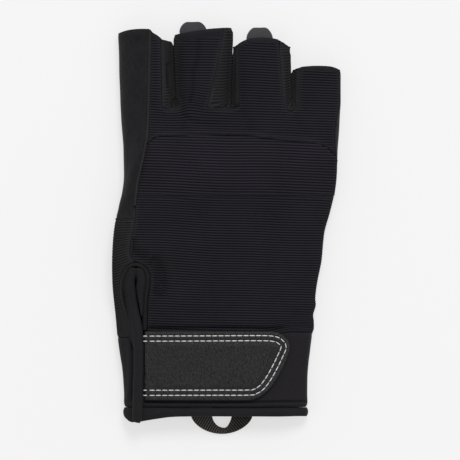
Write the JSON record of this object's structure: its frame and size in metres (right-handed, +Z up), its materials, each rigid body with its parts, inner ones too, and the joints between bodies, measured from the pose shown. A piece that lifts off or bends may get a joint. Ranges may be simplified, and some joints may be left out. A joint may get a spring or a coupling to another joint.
{
  "type": "climbing glove",
  "caption": "Right-hand fingerless climbing glove lying palm down: knit back with padded knuckles, suede palm, slit cuff with stitched wrist strap, hanging loop and pull tabs.",
  "frame": {"origin": "below the middle of the glove's bounding box, on the surface that the glove lies on", "axes": "+Z up from the palm side to the back of the hand, +Y from the wrist to the fingertips, +X towards the little finger"},
  "size_m": [0.1034, 0.1856, 0.0191],
  "materials": {
    "knit": "matte ribbed stretch knit",
    "pad_knit": "matte ribbed stretch knit over foam",
    "side_knit": "matte ribbed knit",
    "suede": "matte napped suede",
    "cuff_cloth": "smooth matte neoprene cloth",
    "trim": "matte folded cloth binding",
    "strap_leather": "fine grained, low sheen, white stitching",
    "webbing": "ribbed woven tape with a slight sheen",
    "tab_cloth": "smooth grey tape"
  },
  "bodies": {
    "root": {"back_upper": "knit", "knuckle_pad": "pad_knit", "back_lower": "knit", "palm_panel": "suede", "thumb_gusset": "side_knit", "thumb_back": "side_knit", "thumb_palm": "suede", "fourchette_index_middle": "side_knit", "fourchette_middle_ring": "side_knit", "fourchette_ring_little": "side_knit", "side_piping": "trim", "cuff_band": "cuff_cloth", "cuff_hem": "trim", "slit_welt": "trim", "slit_roll_left": "trim", "slit_roll_right": "trim", "wrist_strap": "strap_leather", "hang_loop": "webbing", "pull_tab_middle": "tab_cloth", "pull_tab_ring": "tab_cloth"}
  },
  "joints": []
}
